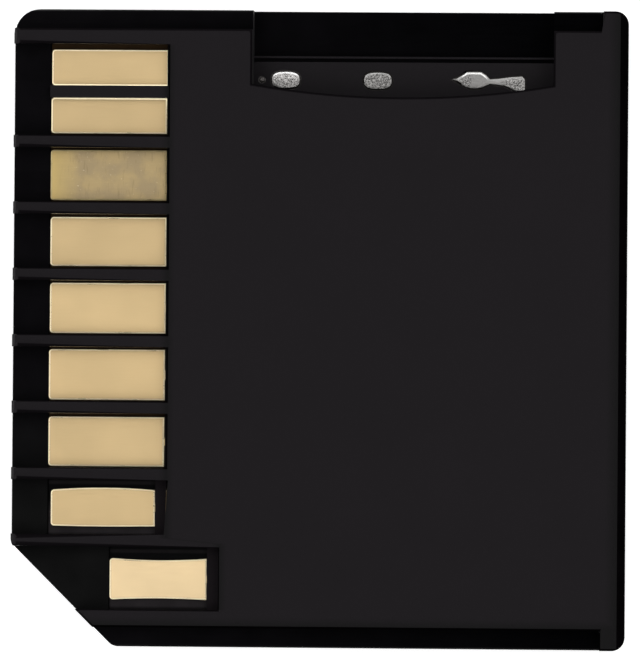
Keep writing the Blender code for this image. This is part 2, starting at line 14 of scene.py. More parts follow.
import bmesh
import bpy
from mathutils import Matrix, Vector


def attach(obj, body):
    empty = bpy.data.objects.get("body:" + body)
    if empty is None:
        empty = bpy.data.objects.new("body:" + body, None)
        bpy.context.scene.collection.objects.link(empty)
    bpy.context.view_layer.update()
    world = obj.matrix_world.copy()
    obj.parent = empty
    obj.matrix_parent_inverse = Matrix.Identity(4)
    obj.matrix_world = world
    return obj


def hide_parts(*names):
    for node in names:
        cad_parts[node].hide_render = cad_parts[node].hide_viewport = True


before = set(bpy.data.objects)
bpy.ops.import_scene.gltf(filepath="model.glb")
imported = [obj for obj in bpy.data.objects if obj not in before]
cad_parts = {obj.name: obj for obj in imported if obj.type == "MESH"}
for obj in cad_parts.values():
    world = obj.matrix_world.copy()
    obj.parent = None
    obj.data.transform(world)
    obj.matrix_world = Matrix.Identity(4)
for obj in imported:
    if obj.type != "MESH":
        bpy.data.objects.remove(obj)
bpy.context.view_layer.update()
MM = 0.001
LENGTH, WIDTH, THICKNESS = 23.12, 24.0, 2.1
print("nodes:", ", ".join(sorted(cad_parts)))

# %% [markdown]
# ## Where things are on the card
#
# A card drawing is measured from the contact edge and from the side with the cut corner. The
# frame has its origin in the middle instead. Two small functions turn drawing places into
# frame places and back, so every number below can be read off a card drawing in millimetres.

# %% Places on the card


def on_card(x, y, z=0.0):
    """The frame's place, in metres, of a point given in millimetres on the card drawing."""
    return Vector((x - LENGTH / 2, y - WIDTH / 2, z)) * MM


def on_drawing(place):
    """The card drawing's x and y, in millimetres, of a place in the frame."""
    return place.x / MM + LENGTH / 2, place.y / MM + WIDTH / 2


print("contact edge corner:", on_card(0, WIDTH, THICKNESS))

# %% [markdown]
# ## Soft edges
#
# Nothing moulded or stamped has a knife edge. Light catches the small radius as a thin bright
# line, and without it a model looks cut from paper. The edges could be faked with a shader,
# but a real bevel also shows in the outline, so each shell gets a copy of its node's mesh. The
# copy's loose triangles are merged, flat areas are joined into single faces, and only the
# right-angled folds are bevelled: the rest were already broken when the solid was made. At
# each corner the widest face gives the shading its direction, so the large faces stay flat
# while the narrow ones between them shade as round.

# %% Copy a node's mesh and round its folds
MERGE = 0.0005 * MM
FLAT = math.radians(0.5)
SHARP = math.radians(50)
RIGHT_ANGLE = math.radians(60)
WIDEST_COUNTS = 4


def clean_copy(node):
    """The node's mesh with its loose triangles merged and its flat areas joined."""
    work = bmesh.new()
    work.from_mesh(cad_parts[node].data)
    bmesh.ops.remove_doubles(work, verts=work.verts[:], dist=MERGE)
    bmesh.ops.dissolve_limit(
        work, angle_limit=FLAT, verts=work.verts[:], edges=work.edges[:]
    )
    return work


def new_object(name, data):
    """An object of this data, linked into the scene."""
    made = bpy.data.objects.new(name, data)
    bpy.context.collection.objects.link(made)
    return made


def middle(edge):
    """The place half way along an edge."""
    return (edge.verts[0].co + edge.verts[1].co) / 2


def round_folds(work, radius, segments, chosen):
    """Rounds the right-angled folds that chosen() picks, and counts them."""
    work.normal_update()
    folds = [
        edge
        for edge in work.edges
        if len(edge.link_faces) == 2
        and edge.calc_face_angle() > RIGHT_ANGLE
        and chosen(edge)
    ]
    bmesh.ops.bevel(
        work,
        geom=folds,
        offset=radius * MM,
        offset_type="OFFSET",
        segments=segments,
        profile=0.5,
        affect="EDGES",
        clamp_overlap=False,
        miter_outer="ARC",
    )
    return len(folds)


def fan(corner):
    """The faces round a face's corner that can be reached without crossing a sharp fold."""
    found, waiting = {corner.face}, [corner.face]
    while waiting:
        face = waiting.pop()
        for edge in corner.vert.link_edges:
            if edge.smooth and face in edge.link_faces:
                for other in edge.link_faces:
                    if other not in found:
                        found.add(other)
                        waiting.append(other)
    return found


def as_piece(work, name):
    """An object of the worked mesh, shaded smooth up to its sharp folds."""
    work.normal_update()
    for face in work.faces:
        face.smooth = True
    for edge in work.edges:
        edge.smooth = len(edge.link_faces) == 2 and edge.calc_face_angle() < SHARP
    area = {face: face.calc_area() for face in work.faces}
    normals = []
    for face in work.faces:
        for corner in face.loops:
            round_it = fan(corner)
            widest = max(area[other] for other in round_it)
            share = [
                other.normal * (area[other] / widest) ** WIDEST_COUNTS for other in round_it
            ]
            normals.append(sum(share, Vector()).normalized())
    mesh = bpy.data.meshes.new(name)
    work.to_mesh(mesh)
    work.free()
    mesh.normals_split_custom_set(normals)
    piece = new_object(name, mesh)
    print(f"{name}: {len(mesh.polygons)} faces")
    return piece


def stand_in(piece, node, slot, *materials):
    """The piece shows in the node's place, rides with the case and wears these materials."""
    for material in materials:
        piece.data.materials.append(material)
    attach(piece, "root")
    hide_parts(node)


print("folds sharper than", round(math.degrees(RIGHT_ANGLE)), "degrees can be rounded")

# %% [markdown]
# ## Building materials from nodes
#
# Each finish is a small network: a place on the object goes in, and colour, roughness and
# relief come out. The same few steps come back every time, so they are written once here. All
# patterns read Object coordinates, which stay fixed to the piece however it is looked at.

# %% Helpers for node networks
NOISE_REACH = 0.2


class Finish:
    """A material under construction, with short names for the steps that repeat."""

    def __init__(self, name):
        self.material = bpy.data.materials.new(name)
        self.material.use_nodes = True
        self.tree = self.material.node_tree
        self.shader = self.tree.nodes["Principled BSDF"]
        self.place = self.add("ShaderNodeTexCoord").outputs["Object"]

    def add(self, kind, inputs=None, **settings):
        step = self.tree.nodes.new(kind)
        for key, value in settings.items():
            setattr(step, key, value)
        for key, value in (inputs or {}).items():
            self.feed(step.inputs[key], value)
        return step

    def feed(self, socket, value):
        """Links a socket to another one, or gives it a number or a colour."""
        if isinstance(value, bpy.types.NodeSocket):
            self.tree.links.new(value, socket)
        elif hasattr(value, "__len__") and len(socket.default_value) == 4:
            socket.default_value = (*value, 1.0)
        else:
            socket.default_value = value

    def set(self, **values):
        """Sets or links the shader's own sockets, named with _ for each space."""
        for key, value in values.items():
            self.feed(self.shader.inputs[key.replace("_", " ")], value)

    def grain(self, size, detail=2.0, stretch=(1, 1, 1), seed=0.0):
        """Noise between 0 and 1, with features of about this size in millimetres."""
        moved = self.add(
            "ShaderNodeMapping",
            {"Vector": self.place, "Location": (seed, seed, seed), "Scale": stretch},
        )
        step = self.add(
            "ShaderNodeTexNoise",
            {"Vector": moved.outputs[0], "Scale": 1 / (size * MM), "Detail": detail},
        )
        return step.outputs["Fac"]

    def math(self, operation, *values):
        step = self.add("ShaderNodeMath", operation=operation)
        for socket, value in zip(step.inputs, values):
            self.feed(socket, value)
        return step.outputs[0]

    def fold(self, operation, first, *others):
        """One operation run over several values, such as the product of three."""
        for other in others:
            first = self.math(operation, first, other)
        return first

    def ramp(self, value, low, high, to_low=0.0, to_high=1.0):
        """Turns low into to_low and high into to_high, with a straight line between."""
        step = self.add(
            "ShaderNodeMapRange",
            {
                "Value": value,
                "From Min": low,
                "From Max": high,
                "To Min": to_low,
                "To Max": to_high,
            },
        )
        return step.outputs["Result"]

    def vary(self, noise, low, high, reach=NOISE_REACH):
        """Spreads the middle of a noise, where nearly all of it lies, from low to high."""
        return self.ramp(noise, 0.5 - reach, 0.5 + reach, low, high)

    def along(self, axis):
        """The place along one axis of the card drawing, in millimetres."""
        parts = self.add("ShaderNodeSeparateXYZ", {"Vector": self.place})
        shift = {"X": LENGTH / 2, "Y": WIDTH / 2, "Z": 0.0}[axis]
        return self.math("MULTIPLY_ADD", parts.outputs[axis], 1 / MM, shift)

    def mix(self, share, first, second):
        """The first colour where the share is 0 and the second where it is 1."""
        step = self.add("ShaderNodeMix", data_type="RGBA")
        self.feed(step.inputs[0], share)
        self.feed(step.inputs[6], first)
        self.feed(step.inputs[7], second)
        return step.outputs[2]

    def shade(self, colour, share):
        """The colour made brighter or darker by a share that may differ from place to place."""
        step = self.add("ShaderNodeVectorMath", operation="SCALE")
        if isinstance(colour, bpy.types.NodeSocket):
            self.tree.links.new(colour, step.inputs[0])
        else:
            step.inputs[0].default_value = colour
        self.feed(step.inputs["Scale"], share)
        return step.outputs[0]

    def relief(self, height, depth, strength=1.0):
        """Bump of this depth in millimetres."""
        step = self.add(
            "ShaderNodeBump",
            {"Height": height, "Distance": depth * MM, "Strength": strength},
        )
        return step.outputs["Normal"]


def srgb(*parts):
    """A colour given as 0 to 255 screen values, in the linear light that shaders work in."""
    return tuple(
        (part / 255 / 12.92) if part < 10.3 else ((part / 255 + 0.055) / 1.055) ** 2.4
        for part in parts
    )


print("card black in linear light:", [round(part, 4) for part in srgb(32, 29, 32)])

# %% [markdown]
# ## Moulded plastic
#
# The case is one black plastic with a few finishes. Where the large faces lie, the mould was
# spark eroded, which leaves a fine even grain that scatters light to a dark grey. Painted shade
# darkens it near the outer folds and close behind the windows. The rounded folds, the ledges
# over the short pads and the upright walls have the same grain, but another tone and another
# share of gloss: the ledges' lighter grey is painted light against the shade they lie in, and
# the walls' lighter grey is partly painted light from the white floor. All four come from one
# function, and each face of a shell takes the finish that its place calls for.

# %% The grained finishes
# The ledge and wall greys are lighter than the face: painted light on the shaded ledges, and
# partly painted floor light on the walls
GRAIN_GREY, LEDGE_GREY = srgb(17, 13, 17), srgb(28, 25, 27)
FOLD_GREY, WALL_GREY = srgb(18, 16, 18), srgb(22, 20, 22)
GRAIN_SIZE, GRAIN_DEPTH, PAINTED_SHADE_TONE = 0.045, 0.006, 0.2
# Places on the drawing between which the painted shade comes or goes
LOW_FOLD, REAR_FOLD = (0.82, 1.15), (22.75, 22.35)
WINDOW_STEP, WINDOW_REARS = (3.9, 4.1), (7.9, 5.87)
BEFORE_REAR, BEHIND_REAR = (-0.3, 0.0), (0.0, 0.25)
LOW_FRAME, HIGH_FRAME = (1.45, 1.4), (22.6, 22.65)


def painted_shade_tone(finish):
    """Painted shade: dark along the outer folds and across the rear edges of the windows, else
    1.
    """
    x, y = finish.along("X"), finish.along("Y")
    behind = finish.math("SUBTRACT", x, finish.ramp(y, *WINDOW_STEP, *WINDOW_REARS))
    beside_windows = finish.fold(
        "MAXIMUM",
        finish.ramp(behind, *BEFORE_REAR, 1.0, PAINTED_SHADE_TONE),
        finish.ramp(behind, *BEHIND_REAR, PAINTED_SHADE_TONE, 1.0),
        finish.ramp(y, *LOW_FRAME),
        finish.ramp(y, *HIGH_FRAME),
    )
    return finish.fold(
        "MINIMUM",
        finish.ramp(y, *LOW_FOLD, PAINTED_SHADE_TONE, 1.0),
        finish.ramp(x, *REAR_FOLD, PAINTED_SHADE_TONE, 1.0),
        beside_windows,
    )


def grained_plastic(name, colour, shine, painted_shading=True):
    """Plastic with the grain of a spark eroded mould."""
    finish = Finish(name)
    pits = finish.grain(GRAIN_SIZE, 3.0)
    tone = finish.vary(finish.grain(2.6, 2.0, seed=3.0), 0.95, 1.05)
    # Painted shade along the outer folds and just behind the windows
    if painted_shading:
        tone = finish.math("MULTIPLY", painted_shade_tone(finish), tone)
    finish.set(
        Base_Color=finish.shade(colour, tone),
        Roughness=finish.vary(pits, 0.5, 0.62),
        Specular_IOR_Level=shine,
        IOR=1.5,
        Normal=finish.relief(pits, GRAIN_DEPTH, 0.5),
    )
    return finish.material


grained = grained_plastic("grained_plastic", GRAIN_GREY, 0.13)
fold_grey = grained_plastic("fold_plastic", FOLD_GREY, 0.0)
wall_grey = grained_plastic("wall_plastic", WALL_GREY, 0.3)
ledge_grey = grained_plastic("ledge_plastic", LEDGE_GREY, 0.0, painted_shading=False)
print("grained:", ", ".join(m.name for m in (grained, fold_grey, wall_grey, ledge_grey)))

# %% [markdown]
# ## The polished finish
#
# The rails and the channels in front of the pads were polished, so they mirror the dark side
# of the room and look nearly black. Their black is darker towards the rear half of the case,
# and painted light greys it a little towards the cut corner. The place along the card drives
# that change slowly, and a long thin noise adds the faint drawn lines that polishing leaves.

# %% The polished finish
# The grey black for the cut corner is painted light
DEEP_BLACK, FRONT_BLACK, CORNER_LIGHT_BLACK = srgb(3, 3, 4), srgb(11, 10, 12), srgb(18, 18, 18)
FRONT_TO_REAR = (4.0, 21.0)
CORNER_SLOPE, CORNER_FADE = 0.55, (10.5, 5.5)
RAIL_SIDE, RAIL_FADE = 0.8, 0.3


def polished_plastic(name):
    """Gloss black, greyed by painted light near the cut corner but not on the rail beside it."""
    finish = Finish(name)
    x, y = finish.along("X"), finish.along("Y")
    colour = finish.mix(finish.ramp(x, *FRONT_TO_REAR), FRONT_BLACK, DEEP_BLACK)
    corner = finish.math("MULTIPLY_ADD", x, CORNER_SLOPE, y)
    inside = finish.ramp(y, RAIL_SIDE, RAIL_SIDE + RAIL_FADE)
    # Painted light, fading in towards the cut corner
    painted_shading = finish.math("MULTIPLY", finish.ramp(corner, *CORNER_FADE), inside)
    colour = finish.mix(painted_shading, colour, CORNER_LIGHT_BLACK)
    lines = finish.grain(0.06, 2.0, stretch=(0.05, 1, 1), seed=5.0)
    cloud = finish.grain(1.5, 2.0, seed=9.0)
    finish.set(
        Base_Color=finish.shade(colour, finish.vary(cloud, 0.8, 1.2)),
        Roughness=finish.vary(lines, 0.14, 0.2),
        Specular_IOR_Level=0.04,
        IOR=1.5,
        Normal=finish.relief(lines, 0.0006, 0.5),
    )
    return finish.material


polished = polished_plastic("polished_plastic")
print("polished:", polished.name)

# %% [markdown]
# ## Two finishes for steep places
#
# The band that rounds the rear of the case is so steep that with any gloss it would mirror the
# white floor. The real one is dull there, so its finish has no gloss at all. The walls round
# the pads are the opposite: the mould drew them bright, and they mirror the gold beside them.

# %% The band round the rear and the walls round the pads
BAND_BLACK, MIRROR_BLACK = srgb(5, 4, 5), srgb(6, 6, 7)


def dull_plastic(name):
    """Black without any gloss."""
    finish = Finish(name)
    cloud = finish.grain(0.8, 2.0, seed=12.0)
    finish.set(
        Base_Color=finish.shade(BAND_BLACK, finish.vary(cloud, 0.8, 1.2)),
        Roughness=0.7,
        Specular_IOR_Level=0.0,
        Normal=finish.relief(cloud, 0.002, 0.3),
    )
    return finish.material


def window_plastic(name):
    """Bright drawn black, with an even cloud so that no noise shows at a low angle."""
    finish = Finish(name)
    cloud = finish.grain(1.2, 2.0, seed=14.0)
    finish.set(
        Base_Color=finish.shade(MIRROR_BLACK, finish.vary(cloud, 0.8, 1.2)),
        Roughness=finish.vary(cloud, 0.14, 0.2),
        Specular_IOR_Level=0.6,
        IOR=1.5,
    )
    return finish.material


dull = dull_plastic("dull_plastic")
mirror_black = window_plastic("window_plastic")
FINISHES = (grained, polished, dull, fold_grey, wall_grey, mirror_black, ledge_grey)
GRAINED, POLISHED, DULL, FOLD, WALL, WINDOW, LEDGE = range(len(FINISHES))
print("finishes of the case:", len(FINISHES))

# %% [markdown]
# ## The contact side shell
#
# This half carries the windows, the ribs between the pads and the finger notch. A face's
# height and direction tell its finish. The grain covers the top face, the bridge between the
# two pads of the wide channel and the bevelled contact edge. Ledges, walls, rounded folds and
# the band round the rear have their own finishes, and all that lies lower is polished.

# %% Which finish a face has
FACE_LEVEL, BRIDGE_LEVEL, LEDGE_LEVEL = 2.1, 1.75, 1.5
REAR_BAND, NOSE = 0.5, 0.3
WINDOWS_LOW_SIDE, WINDOWS_HIGH_SIDE = 1.2, 22.9
WINDOW_START, WINDOW_END, CORNER_WINDOW_END = 1.3, 5.9, 7.9
FIRST_RIB, CORNER_RIB_EDGE, LEVEL_SLACK = 4.0, 0.17, 0.03
# Parts of a face's direction, from -1 to 1
LEVEL, UPRIGHT, LOOKS_UP, LOOKS_BACK, LOOKS_OUT = 0.9, 0.15, 0.1, 0.3, -0.2


def lies_flat(face, level, facing=1):
    """True where a face lies at this height, in millimetres, and looks up, or down at -1."""
    height = face.calc_center_median().z / MM
    return abs(height - level) < LEVEL_SLACK and face.normal.z * facing > LEVEL


def is_upright(face):
    """True for a wall."""
    return abs(face.normal.z) < UPRIGHT


def is_window_wall(face):
    """True for the walls round the pads."""
    x, y = on_drawing(face.calc_center_median())
    rear = CORNER_WINDOW_END if y < FIRST_RIB else WINDOW_END
    inside = WINDOWS_LOW_SIDE < y < WINDOWS_HIGH_SIDE
    return is_upright(face) and inside and WINDOW_START < x < rear


def finish_of(face):
    """The number of a face's finish."""
    place, faces_up = face.calc_center_median(), face.normal.z > LOOKS_UP
    if is_window_wall(face):
        return WINDOW
    if is_upright(face):
        return WALL
    if place.x > on_card(LENGTH - REAR_BAND, 0).x and face.normal.x > LOOKS_BACK:
        return DULL
    if lies_flat(face, LEDGE_LEVEL):
        return LEDGE
    if lies_flat(face, FACE_LEVEL) or lies_flat(face, BRIDGE_LEVEL):
        return GRAINED
    if place.x < on_card(NOSE, 0).x and face.normal.x < LOOKS_OUT and faces_up:
        return GRAINED
    near_top = place.z > (FACE_LEVEL - CORNER_RIB_EDGE - LEVEL_SLACK) * MM
    return FOLD if near_top and faces_up else POLISHED


print("heights:", FACE_LEVEL, BRIDGE_LEVEL, LEDGE_LEVEL)

# %% [markdown]
# ## Its folds
#
# The folds differ too. The long ones nearest the cut corner are rubbed to a wide round, the
# side of each rib that looks to that corner to a smaller one, and the rest are nearly crisp.

# %% Contact side shell
RIB_EDGE, RIB_LOW_EDGE = 0.07, 0.13
TOP_SLACK, RIB_SLACK, LOW_STRIP_FOLD = 0.1, 0.3, 1.1


def at_the_top(edge):
    """True for the folds along the upper face."""
    return middle(edge).z > (FACE_LEVEL - TOP_SLACK) * MM


def over_a_low_wall(edge):
    """True for the fold along the side of a rib that looks towards the cut corner."""
    return at_the_top(edge) and any(face.normal.y < -LEVEL for face in edge.link_faces)


def is_rubbed(edge):
    """True for the long folds nearest the cut corner: the first rib's and the outermost."""
    y = on_drawing(middle(edge))[1]
    along = abs(edge.verts[0].co.y - edge.verts[1].co.y) < MERGE
    near_corner = abs(y - FIRST_RIB) < RIB_SLACK or y < LOW_STRIP_FOLD
    return at_the_top(edge) and along and near_corner


work = clean_copy("contact_shell")
count = round_folds(work, CORNER_RIB_EDGE, 4, is_rubbed)
count += round_folds(work, RIB_LOW_EDGE, 4, over_a_low_wall)
count += round_folds(work, RIB_EDGE, 3, at_the_top)
for vertex in work.verts:
    vertex.co.z = min(vertex.co.z, FACE_LEVEL * MM)
work.normal_update()
for face in work.faces:
    face.material_index = finish_of(face)
case_top = as_piece(work, "contact_side_case")
stand_in(case_top, "contact_shell", "contact_side_plastic", *FINISHES)
print("rounded folds:", count)

# %% [markdown]
# ## The tail of the steel and its opening
#
# A steel strip lies under the floor of the slot and shows through openings in it. The last one
# is a wavy tail, and on the real card it sits a hair nearer to the mouth, with a fuller neck
# and a longer tip, than on the solid. Drawing it anew would lose its tie to the solid, so one
# function shifts the points of its two long sides by amounts read from a short list. It is run
# on the steel and on its opening alike, so that the two still fit.

# %% Shift the tail
MOUTH = (8.98, 20.31)
TAIL_LENGTHS, TAIL_DEPTHS, TAIL_LEVELS = (7.4, 10.4), (2.1, 3.15), (0.45, 0.65)
TAIL_MIDDLE, TIP_END, TIP_SHIFT = 2.7, 7.65, 0.1
# Places along the mouth, each with its shift
MOUTH_SIDE = (
    (7.5, 0.09), (7.85, 0.13), (8.02, 0.09), (8.29, 0.035), (8.59, 0.07), (8.78, 0.12),
    (8.92, 0.135), (9.24, 0.14), (9.72, 0.065), (10.12, 0.05), (10.3, 0.09),
)
INNER_SIDE = ((8.69, 0.0), (8.92, 0.08), (9.48, 0.03), (9.78, 0.0))


def between(steps, place):
    """The value at a place, on straight lines through (place, value) steps."""
    if place <= steps[0][0]:
        return steps[0][1]
    for (start, low), (end, high) in zip(steps, steps[1:]):
        if place <= end:
            return low + (high - low) * (place - start) / (end - start)
    return steps[-1][1]


def settle_tail(work):
    """Moves the long sides of the tail, or of its opening, and counts the points moved."""
    moved = 0
    for vertex in work.verts:
        x, y = on_drawing(vertex.co)
        along, deep = x - MOUTH[0], WIDTH - y
        limits = (along, TAIL_LENGTHS), (deep, TAIL_DEPTHS), (vertex.co.z / MM, TAIL_LEVELS)
        if all(low < place < high for place, (low, high) in limits):
            steps = MOUTH_SIDE if deep < TAIL_MIDDLE else INNER_SIDE
            vertex.co.y += between(steps, along) * MM
            vertex.co.x -= TIP_SHIFT * MM if along < TIP_END else 0
            moved += 1
    return moved


print("the neck moves by", round(between(MOUTH_SIDE, 9.0), 3), "mm")

# %% [markdown]
# ## The label side shell
#
# The other half is the plate under the small card. Its outside and the floor of the slot are
# grained, its walls have the finish of the other shell's walls, and the deep mouth of the slot
# and the bed of the label are polished. A low bead crosses the floor just inside the mouth:
# its crest is rounded well over, so that only a thin line of it catches the light.

# %% Label side shell
SLOT_FLOOR_LEVEL, LABEL_FACE_LEVEL = 0.6, 0.0
CREST_START, CREST_ROUND, CREST_SLACK = 22.0, 0.055, 0.05


def at_the_crest(edge):
    """True for the upper folds of the low bead and of the groove beside it."""
    place = middle(edge)
    low = (SLOT_FLOOR_LEVEL - CREST_SLACK) * MM < place.z < (SLOT_FLOOR_LEVEL + CREST_SLACK) * MM
    return edge.is_convex and low and place.y > on_card(0, CREST_START).y


work = clean_copy("label_shell")
print("opening of the tail:", settle_tail(work), "points")
count = round_folds(work, CREST_ROUND, 3, at_the_crest)
work.normal_update()
for face in work.faces:
    grainy = lies_flat(face, SLOT_FLOOR_LEVEL) or lies_flat(face, LABEL_FACE_LEVEL, -1)
    face.material_index = GRAINED if grainy else WALL if is_upright(face) else POLISHED
case_bottom = as_piece(work, "label_side_case")
stand_in(case_bottom, "label_shell", "label_side_plastic", *FINISHES)
print("rounded folds:", count)

# %% [markdown]
# ## The carrier that holds the leads
#
# The leads are moulded into a black frame, which shows only as narrow strips beside the pads.
# Beside the two short pads the strips are wide enough to show light and shade, and both are
# painted in: grey with a paler band of painted light on the low side, and nearly black painted
# shade with a thin paler stripe on the high side. Beside the long pads a warm brown is a painted
# reflection of the gold. All of it depends on the place across the card alone, so one material
# with a few ramps does it.

# %% The carrier
# Painted light on the low side of the short pads; painted shade and a painted gold reflection on
# the high side
CARRIER_PALE, CARRIER_DARK = srgb(19, 17, 18), srgb(4, 4, 5)
CARRIER_LIT, CARRIER_STRIPE = srgb(44, 41, 43), srgb(23, 21, 22)
CARRIER_GOLD_REFLECTION, LONG_PADS, REFLECTION_FADE = srgb(48, 34, 17), 6.6, 0.2
# Places across the card, beside the corner pad and beside the first pad
BETWEEN_PADS, BETWEEN_FADE = 4.0, 0.1
PAD_LINES, LINE_FADE = (2.6, 5.21), (-0.2, 0.3)
LIT_END, LIT_FADE = (1.53, 4.3), 0.1
STRIPE_START, STRIPE_WIDTH, STRIPE_FADE = (3.5, 6.07), 0.18, 0.05


def carrier_plastic(name):
    """Black plastic in strips of painted light, painted shade and painted gold reflection."""
    finish = Finish(name)
    y = finish.along("Y")
    at_first_pad = finish.ramp(y, BETWEEN_PADS - BETWEEN_FADE, BETWEEN_PADS + BETWEEN_FADE)

    def from_line(lines):
        """How far a place lies beyond a line, which is another one beside each pad."""
        line = finish.math("MULTIPLY_ADD", at_first_pad, lines[1] - lines[0], lines[0])
        return finish.math("SUBTRACT", y, line)

    gold_reflection = finish.ramp(y, LONG_PADS - REFLECTION_FADE, LONG_PADS)
    lit = finish.ramp(from_line(LIT_END), -LIT_FADE, 0)
    into = from_line(STRIPE_START)
    stripe = finish.math(
        "MULTIPLY",
        finish.ramp(into, 0, STRIPE_FADE),
        finish.ramp(into, STRIPE_WIDTH, STRIPE_WIDTH - STRIPE_FADE),
    )
    low_side = finish.mix(lit, CARRIER_PALE, CARRIER_LIT)
    high_side = finish.mix(gold_reflection, CARRIER_DARK, CARRIER_GOLD_REFLECTION)
    high_side = finish.mix(stripe, high_side, CARRIER_STRIPE)
    colour = finish.mix(finish.ramp(from_line(PAD_LINES), *LINE_FADE), low_side, high_side)
    cloud = finish.grain(0.5, 2.0, seed=8.0)
    finish.set(
        Base_Color=finish.shade(colour, finish.vary(cloud, 0.85, 1.15)),
        Roughness=0.6,
        Specular_IOR_Level=0.05,
        Normal=finish.relief(cloud, 0.003, 0.4),
    )
    return finish.material


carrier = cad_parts["lead_carrier"]
carrier.data.materials.clear()
carrier.data.materials.append(carrier_plastic("carrier_plastic"))
print("carrier:", carrier.data.materials[0].name)

# %% [markdown]
# ## Stamped pads
#
# Each pad is the flat end of a strip stamped from sheet. Stamping pulls the edge of the sheet
# down, so the top of a pad has a shallow rolled rim that leans towards the lamps and shows as
# a bright line. Where the tool was blunt, it left a low burr that leans the other way, and so
# a dark line: four pads have one along a long side. A plain bevel would be too steep and
# mirror the dark case. So the flat top is inset twice, and its old border is let down a
# little, or lifted where there is a burr.

# %% Roll the edges of a stamped lead
PAD_LEVEL, ON_PLANE = 1.4, 0.003
PAD_REAR = {
    "lead_1": 5.4, "lead_2": 5.73, "lead_4": 5.75, "lead_5": 5.76,
    "lead_7": 5.75, "lead_8": 5.79, "lead_9": 7.37, "lead_ground": 5.75,
}
RIM_WIDTH, RIM_DROP, INNER_SHARE = 0.05, 0.004, 0.4
FLAT_TOP, RIM = 0, 1
# Lift of the low and the high side
ROLLED = (-RIM_DROP, -RIM_DROP)
BURRS = {
    "lead_4": (-RIM_DROP, 0.003),
    "lead_5": (-RIM_DROP, 0.004),
    "lead_7": (-RIM_DROP, 0.011),
    "lead_8": (0.008, -RIM_DROP),
}


def cut_across(work, x, on_plane=0.0):
    """Cuts the mesh across the card, at this place on the drawing."""
    bmesh.ops.bisect_plane(
        work,
        geom=work.verts[:] + work.edges[:] + work.faces[:],
        dist=on_plane * MM,
        plane_co=on_card(x, 0),
        plane_no=(1, 0, 0),
    )


def inset(work, faces, width):
    """Insets faces as one area and returns the border that grew round them."""
    return bmesh.ops.inset_region(
        work,
        faces=faces,
        thickness=width * MM,
        use_even_offset=True,
        use_boundary=True,
    )["faces"]


def stamped(node):
    """The lead's mesh with the rim of its pads rolled over, but not of the hidden neck."""
    work = clean_copy(node)
    rear = on_card(PAD_REAR[node], 0)
    cut_across(work, PAD_REAR[node], ON_PLANE)
    work.normal_update()
    top = [
        face
        for face in work.faces
        if lies_flat(face, PAD_LEVEL) and face.calc_center_median().x < rear.x
    ]
    rims = [inset(work, top, RIM_WIDTH / 2) for _ in range(2)]
    for face in work.faces:
        face.material_index = RIM if face in rims[0] or face in rims[1] else FLAT_TOP
    outer, inner = ({vertex for face in rim for vertex in face.verts} for rim in rims)
    low_lift, high_lift = BURRS.get(node, ROLLED)
    low_side = min(vertex.co.y for vertex in outer) + 2 * RIM_WIDTH * MM
    high_side = max(vertex.co.y for vertex in outer) - 2 * RIM_WIDTH * MM
    for vertex in outer:
        lift = -RIM_DROP
        if vertex.co.y > high_side:
            lift = high_lift
        elif vertex.co.y < low_side:
            lift = low_lift
        share = INNER_SHARE if vertex in inner else 1.0
        vertex.co.z += share * lift * MM
    return work


print("rim:", RIM_WIDTH, "wide,", RIM_DROP, "deep, with burrs on", len(BURRS), "leads")

# %% [markdown]
# ## The plating
#
# Gold over nickel is a bright satin, not a mirror: the sheet was rolled before it was plated,
# and it keeps faint lines along its length. Every pad came out of the bath a little different,
# so each has its own shade. The rim is a little smoother, and its paler gold is a painted
# highlight along the edge.

# %% The plating of a sound pad
# The paler gold of the rims is a painted highlight
PLATING, PALE_PLATING, RIM_HIGHLIGHT = srgb(217, 190, 143), srgb(246, 219, 173), srgb(255, 238, 200)
SATIN, WORN_SATIN, RIM_SHINE = 0.42, 0.46, 0.3
SHADES = {1: 1.0, 2: 1.0, 4: 1.06, 5: 0.96, 7: 0.93, 8: 0.98}


def plated(name, colour, rough=SATIN):
    """Plating of this colour over the faint lines of the rolled sheet."""
    finish = Finish(name)
    lines = finish.grain(0.05, 2.0, stretch=(0.06, 1, 1))
    cloud = finish.grain(1.8, 1.0, seed=7.0)
    finish.set(
        Base_Color=finish.shade(colour, finish.vary(cloud, 0.97, 1.03, reach=0.15)),
        Metallic=1.0,
        Roughness=finish.vary(lines, rough - 0.04, rough + 0.05),
        Normal=finish.relief(lines, 0.0012, 0.4),
    )
    return finish


gold = {
    number: plated(f"gold_{number}", tuple(part * share for part in PLATING))
    for number, share in SHADES.items()
}
pale_gold = plated("pale_gold", PALE_PLATING)
rim_gold = plated("rim_gold", RIM_HIGHLIGHT, RIM_SHINE)
print("platings:", len(gold) + 2)

# %% [markdown]
# ## The worn pad
#
# The sixth pad has been worn by many insertions. It has lost its lustre and looks olive, with
# soft grey blotches, fine scratches across it, a few bare specks, a yellower front edge and a
# duller rim. Each is a noise or a ramp laid over the one before. The pad shares its sheet with
# the sound third pad, so the wear is masked by the place across the card.

# %% The worn plating of the sixth pad
WORN_OLIVE, WORN_GREY = srgb(183, 161, 119), srgb(169, 150, 116)
YELLOW_EDGE, BARE_SPECK = srgb(200, 175, 116), srgb(226, 212, 184)
WORN_EDGE = srgb(190, 172, 128)
SIXTH_PAD_SIDE, SIDE_FADE, FRONT_EDGE_FADE = 16.0, 0.1, (2.5, 1.4)
SCRATCH_TONES, SPECK_LEVELS, BLOTCH_LEVELS = (0.3, 0.42, 0.86, 1.0), (0.7, 0.8), (0.4, 0.6)


def on_sixth_pad(finish, sound, worn):
    """One colour on the sixth pad and another on the pad that shares its sheet."""
    is_sixth = finish.ramp(finish.along("Y"), SIXTH_PAD_SIDE - SIDE_FADE, SIXTH_PAD_SIDE)
    finish.set(Base_Color=finish.mix(is_sixth, sound, worn))


